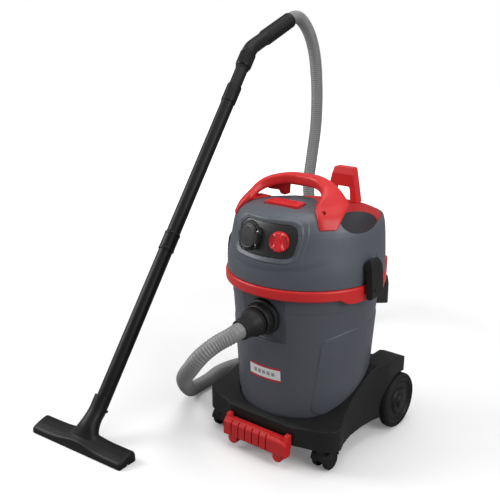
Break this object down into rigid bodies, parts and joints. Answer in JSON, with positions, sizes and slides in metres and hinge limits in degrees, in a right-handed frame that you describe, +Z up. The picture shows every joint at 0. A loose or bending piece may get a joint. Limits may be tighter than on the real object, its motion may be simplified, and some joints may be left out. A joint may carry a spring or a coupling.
{
  "type": "shop vacuum",
  "caption": "Wet and dry shop vacuum: tapered tank on a rolling chassis, latched motor head with carrying handle, suction hose, two-piece wand and floor nozzle.",
  "frame": {"origin": "bottom centre of the box around every rigid piece, on the floor that the wheels and the nozzle stand on", "axes": "+Z up, -Y the front of the machine with its inlet and control panel, +X to the machine's left hand side as it faces the viewer"},
  "size_m": [0.7122, 1.1128, 1.004],
  "materials": {
    "tank_grey": "fine moulded texture, satin",
    "signal_red": "smooth moulded, semi-gloss",
    "moulded_black": "fine moulded texture, satin",
    "hose_grey": "corrugated soft plastic, satin",
    "seal_rubber": "matte",
    "tyre_black": "matte",
    "bright_steel": "zinc plated",
    "filter_fleece": "pleated fleece",
    "float_white": "satin",
    "motor_casting": "cast"
  },
  "bodies": {
    "machine": {"tank_shell": "tank_grey", "tank_band": "signal_red", "rim_gasket": "seal_rubber", "inlet_flange": "moulded_black", "inlet_deflector": "moulded_black", "machine_cuff": "moulded_black", "rotary_switch": "moulded_black", "socket_insert": "moulded_black", "socket_hinge_pin": "bright_steel", "cable_gland": "moulded_black", "head_housing": "tank_grey", "control_panel": "moulded_black", "head_floor": "moulded_black", "motor_mount": "seal_rubber", "turbine_housing": "motor_casting", "motor_can": "bright_steel", "filter_cartridge": "filter_fleece", "float_cage": "moulded_black", "filter_retainer": "moulded_black", "carry_handle": "signal_red", "rear_deck": "signal_red", "hose_bracket": "signal_red", "latch_pin_left": "bright_steel", "latch_pin_right": "bright_steel", "rear_holder": "moulded_black", "chassis": "moulded_black", "rear_axle_left": "bright_steel", "rear_axle_right": "bright_steel", "brake_pivot": "bright_steel", "lower_tube": "moulded_black", "upper_tube": "moulded_black", "hand_grip": "moulded_black", "floor_nozzle": "moulded_black", "nozzle_lip_front": "seal_rubber", "nozzle_lip_rear": "seal_rubber", "hose": "hose_grey"},
    "latch_left": {"latch_left": "moulded_black"},
    "latch_right": {"latch_right": "moulded_black"},
    "knob": {"power_knob": "signal_red"},
    "lid": {"socket_lid": "moulded_black"},
    "button": {"clean_button": "signal_red"},
    "pedal": {"brake_pedal": "signal_red"},
    "caster_left": {"caster_fork_left": "moulded_black"},
    "caster_right": {"caster_fork_right": "moulded_black"},
    "caster_roll_left": {"caster_wheels_left": "moulded_black"},
    "caster_roll_right": {"caster_wheels_right": "moulded_black"},
    "wheel_left": {"rear_wheel_left": "moulded_black", "rear_tyre_left": "tyre_black"},
    "wheel_right": {"rear_wheel_right": "moulded_black", "rear_tyre_right": "tyre_black"},
    "bleed": {"bleed_ring": "moulded_black"},
    "collar": {"bayonet_collar": "moulded_black"},
    "float_valve": {"float": "float_white"}
  },
  "joints": [
    {"name": "latch_left_hinge", "type": "hinge", "parent": "machine", "child": "latch_left", "pos_m": [-0.05094, -0.03113, 0.404], "axis": [0, -1, 0], "range_deg": [0, 105]},
    {"name": "latch_right_hinge", "type": "hinge", "parent": "machine", "child": "latch_right", "pos_m": [0.34746, -0.03113, 0.404], "axis": [0, 1, 0], "range_deg": [0, 105]},
    {"name": "knob_turn", "type": "hinge", "parent": "machine", "child": "knob", "pos_m": [0.19261, -0.17665, 0.53], "axis": [0.2526, -0.9427, 0.2181], "range_deg": [-90, 90]},
    {"name": "lid_hinge", "type": "hinge", "parent": "machine", "child": "lid", "pos_m": [0.13946, -0.18928, 0.53096], "axis": [0.0492, 0.2132, 0.9758], "range_deg": [0, 100], "stiffness_Nm_per_rad": 0.02, "springref_deg": -17.19},
    {"name": "button_press", "type": "slide", "parent": "machine", "child": "button", "axis": [0, 0, -1], "range_m": [0, 0.006], "stiffness_N_per_m": 800, "springref_m": -0.002},
    {"name": "pedal_tilt", "type": "hinge", "parent": "machine", "child": "pedal", "pos_m": [0.14826, -0.15113, 0.046], "axis": [1, 0, 0], "range_deg": [0, 12]},
    {"name": "caster_left_swivel", "type": "hinge", "parent": "machine", "child": "caster_left", "pos_m": [-0.00174, -0.14913, 0], "axis": [0, 0, 1], "continuous": true},
    {"name": "caster_right_swivel", "type": "hinge", "parent": "machine", "child": "caster_right", "pos_m": [0.29826, -0.14913, 0], "axis": [0, 0, 1], "continuous": true},
    {"name": "caster_left_roll", "type": "hinge", "parent": "caster_left", "child": "caster_roll_left", "pos_m": [-0.00174, -0.13513, 0.024], "axis": [1, 0, 0], "continuous": true},
    {"name": "caster_right_roll", "type": "hinge", "parent": "caster_right", "child": "caster_roll_right", "pos_m": [0.29826, -0.13513, 0.024], "axis": [1, 0, 0], "continuous": true},
    {"name": "wheel_left_roll", "type": "hinge", "parent": "machine", "child": "wheel_left", "pos_m": [-0.03374, 0.13587, 0.07], "axis": [-1, 0, 0], "continuous": true},
    {"name": "wheel_right_roll", "type": "hinge", "parent": "machine", "child": "wheel_right", "pos_m": [0.33026, 0.13587, 0.07], "axis": [1, 0, 0], "continuous": true},
    {"name": "bleed_turn", "type": "hinge", "parent": "machine", "child": "bleed", "pos_m": [-0.24904, 0.24909, 0.86976], "axis": [-0.0395, 0.6109, 0.7907], "range_deg": [0, 60]},
    {"name": "collar_turn", "type": "hinge", "parent": "machine", "child": "collar", "pos_m": [0.14826, -0.18438, 0.34584], "axis": [0, -0.9962, -0.0872], "range_deg": [0, 30]},
    {"name": "float_lift", "type": "slide", "parent": "machine", "child": "float_valve", "axis": [0, 0, 1], "range_m": [0, 0.08]}
  ]
}
